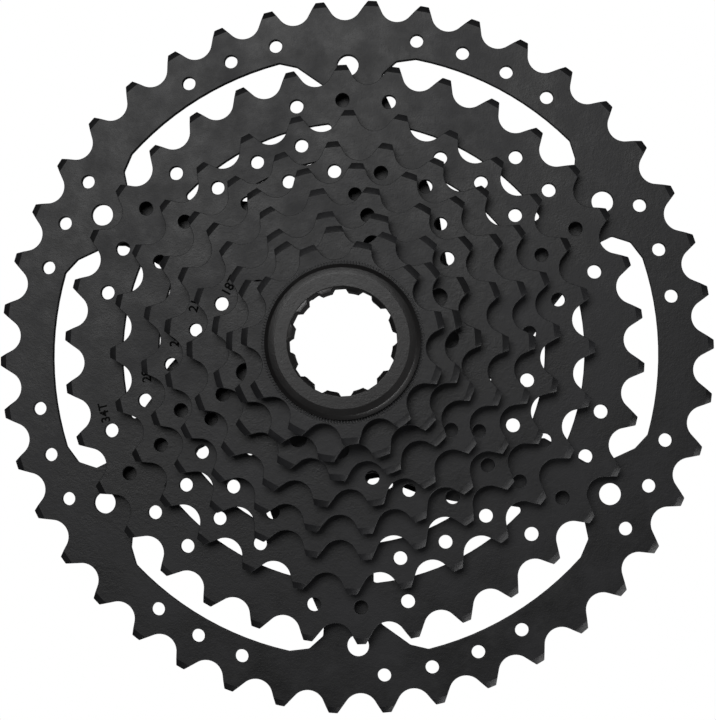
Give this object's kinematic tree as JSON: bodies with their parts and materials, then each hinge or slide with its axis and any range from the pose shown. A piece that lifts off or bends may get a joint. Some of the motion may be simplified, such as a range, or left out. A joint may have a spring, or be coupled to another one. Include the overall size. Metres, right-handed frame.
{
  "type": "bicycle cassette",
  "caption": "Stacked bicycle cassette of toothed steel sprockets with shift ramps, armed large sprockets, spacers and a splined lockring.",
  "frame": {"origin": "freehub axis on the back face of the largest sprocket", "axes": "+Z along the freehub axis, outboard, from the largest sprocket towards the lockring"},
  "size_m": [0.172, 0.1718, 0.0394],
  "materials": {
    "black_steel": "satin black coated steel",
    "spacer_alloy": "black anodised",
    "spacer_plastic": "matte",
    "pin_steel": "satin",
    "lockring_black": "satin black coated steel"
  },
  "bodies": {
    "cluster": {"sprocket_42t": "black_steel", "sprocket_34t": "black_steel", "sprocket_28t": "black_steel", "sprocket_24t": "black_steel", "sprocket_21t": "black_steel", "spacer_42_34": "spacer_alloy", "spacer_34_28": "spacer_alloy", "spacer_28_24": "spacer_alloy", "spacer_24_21": "spacer_alloy", "cluster_pins": "pin_steel"},
    "spacer_21_18": {"spacer_21_18": "spacer_plastic"},
    "sprocket_18t": {"sprocket_18t": "black_steel"},
    "spacer_18_15": {"spacer_18_15": "spacer_plastic"},
    "sprocket_15t": {"sprocket_15t": "black_steel"},
    "spacer_15_13": {"spacer_15_13": "spacer_plastic"},
    "sprocket_13t": {"sprocket_13t": "black_steel"},
    "sprocket_11t": {"sprocket_11t": "black_steel"},
    "lock_washer": {"lock_washer": "pin_steel"},
    "lockring": {"lockring": "lockring_black"}
  },
  "joints": [
    {"name": "spacer_21_18_slide", "type": "slide", "parent": "cluster", "child": "spacer_21_18", "axis": [0, 0, 1], "range_m": [0, 0.012]},
    {"name": "sprocket_18t_slide", "type": "slide", "parent": "spacer_21_18", "child": "sprocket_18t", "axis": [0, 0, 1], "range_m": [0, 0.012]},
    {"name": "spacer_18_15_slide", "type": "slide", "parent": "sprocket_18t", "child": "spacer_18_15", "axis": [0, 0, 1], "range_m": [0, 0.012]},
    {"name": "sprocket_15t_slide", "type": "slide", "parent": "spacer_18_15", "child": "sprocket_15t", "axis": [0, 0, 1], "range_m": [0, 0.012]},
    {"name": "spacer_15_13_slide", "type": "slide", "parent": "sprocket_15t", "child": "spacer_15_13", "axis": [0, 0, 1], "range_m": [0, 0.012]},
    {"name": "sprocket_13t_slide", "type": "slide", "parent": "spacer_15_13", "child": "sprocket_13t", "axis": [0, 0, 1], "range_m": [0, 0.012]},
    {"name": "sprocket_11t_slide", "type": "slide", "parent": "sprocket_13t", "child": "sprocket_11t", "axis": [0, 0, 1], "range_m": [0, 0.012]},
    {"name": "lockring_travel", "type": "slide", "parent": "sprocket_11t", "child": "lock_washer", "axis": [0, 0, 1], "range_m": [0, 0.0072]},
    {"name": "lockring_turn", "type": "hinge", "parent": "lock_washer", "child": "lockring", "pos_m": [0, 0, 0.03706], "axis": [0, 0, 1], "range_deg": [0, 2520]}
  ],
  "couplings": [
    {"joint": "lockring_travel", "follows": "lockring_turn", "m_per_rad": 0.00015915}
  ]
}
